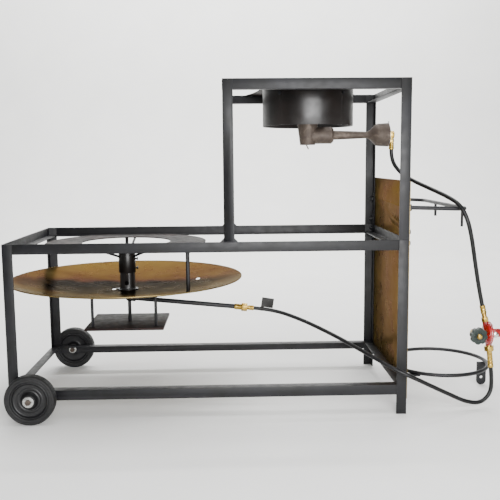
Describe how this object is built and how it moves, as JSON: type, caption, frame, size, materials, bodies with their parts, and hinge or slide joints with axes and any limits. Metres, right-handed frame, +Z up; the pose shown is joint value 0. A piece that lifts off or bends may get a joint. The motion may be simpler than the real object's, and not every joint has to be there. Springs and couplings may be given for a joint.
{
  "type": "propane burner stand",
  "caption": "Welded angle-iron stand with a low burner over a wide dish, a raised burner in a round wind guard, a tank ring, hoses, regulator and wheels.",
  "frame": {"origin": "centre of the footprint box, at floor level", "axes": "+X from the wheeled end to the tank end, +Y from the front to the back, +Z up"},
  "size_m": [1.6579, 0.79, 1.045],
  "materials": {
    "frame_paint": "semi-gloss black enamel on mild steel",
    "sheet_paint": "glossy black enamel on sheet steel, warm reflections",
    "cast_burner": "sand-cast grey iron, unpainted",
    "brass_fitting": "turned brass",
    "zinc_fastener": "bright zinc plate",
    "nickel_knob": "nickel plate",
    "red_enamel": "red enamel on die-cast zinc",
    "handwheel_plastic": "moulded dark green plastic",
    "wheel_rubber": "moulded black rubber",
    "hub_plastic": "moulded black plastic",
    "hose_rubber": "smooth black gas hose",
    "tag_card": "blank dark card label"
  },
  "bodies": {
    "stand": {"low_rails_long": "frame_paint", "low_rails_short": "frame_paint", "base_rails_long": "frame_paint", "base_rails_short": "frame_paint", "tower_rails_long": "frame_paint", "tower_rails_short": "frame_paint", "legs_left": "frame_paint", "legs_right": "frame_paint", "tower_posts_left": "frame_paint", "tower_posts_right": "frame_paint", "axle_bolts": "zinc_fastener", "axle_washers": "zinc_fastener", "axle_nuts": "zinc_fastener", "splice_plates": "frame_paint", "splice_bolts": "zinc_fastener", "end_nuts": "zinc_fastener", "heat_shield": "sheet_paint", "bar_rack": "frame_paint", "tank_ring": "frame_paint", "ring_straps": "frame_paint", "ring_foot": "frame_paint", "lower_deck": "sheet_paint", "wide_dish": "sheet_paint", "burner_sleeve": "frame_paint", "burner_tube": "frame_paint", "burner_nozzle": "brass_fitting", "gas_pipes": "frame_paint", "hanger_spider": "frame_paint", "dish_hangers": "frame_paint", "drip_tray": "sheet_paint", "tray_rods": "frame_paint", "pipe_elbow": "frame_paint", "brass_union": "brass_fitting", "upper_deck": "sheet_paint", "wind_guard": "sheet_paint", "drum_tabs": "sheet_paint", "drum_bolts": "zinc_fastener", "burner_bar": "sheet_paint", "burner_bowl": "cast_burner", "burner_cap": "cast_burner", "venturi": "cast_burner", "orifice_elbow": "brass_fitting", "regulator_body": "red_enamel", "diaphragm": "zinc_fastener", "bonnet": "red_enamel", "bonnet_screws": "zinc_fastener", "inlet_pipe": "brass_fitting", "brass_outlets": "brass_fitting", "hose_sleeves": "brass_fitting", "upper_hose": "hose_rubber", "lower_hose": "hose_rubber", "hose_tag": "tag_card"},
    "front_wheel": {"tyre_front": "wheel_rubber", "hub_front": "hub_plastic"},
    "rear_wheel": {"tyre_rear": "wheel_rubber", "hub_rear": "hub_plastic"},
    "shutter": {"air_shutter": "zinc_fastener"},
    "bottle_nut": {"bottle_handwheel": "handwheel_plastic"},
    "knob": {"adjusting_knob": "nickel_knob"}
  },
  "joints": [
    {"name": "front_wheel_spin", "type": "hinge", "parent": "stand", "child": "front_wheel", "pos_m": [-0.697, -0.312, 0.078], "axis": [0, 1, 0], "continuous": true},
    {"name": "rear_wheel_spin", "type": "hinge", "parent": "stand", "child": "rear_wheel", "pos_m": [-0.697, 0.312, 0.078], "axis": [0, 1, 0], "continuous": true},
    {"name": "air_shutter_turn", "type": "hinge", "parent": "stand", "child": "shutter", "pos_m": [0.466, 0, 0.885], "axis": [1, 0, 0], "range_deg": [0, 45]},
    {"name": "bottle_handwheel_spin", "type": "hinge", "parent": "stand", "child": "bottle_nut", "pos_m": [0.697, -0.285, 0.25], "axis": [0, 1, 0], "continuous": true},
    {"name": "adjusting_knob_turn", "type": "hinge", "parent": "stand", "child": "knob", "pos_m": [0.756, -0.271, 0.25], "axis": [0, -1, 0], "range_deg": [0, 270]}
  ]
}
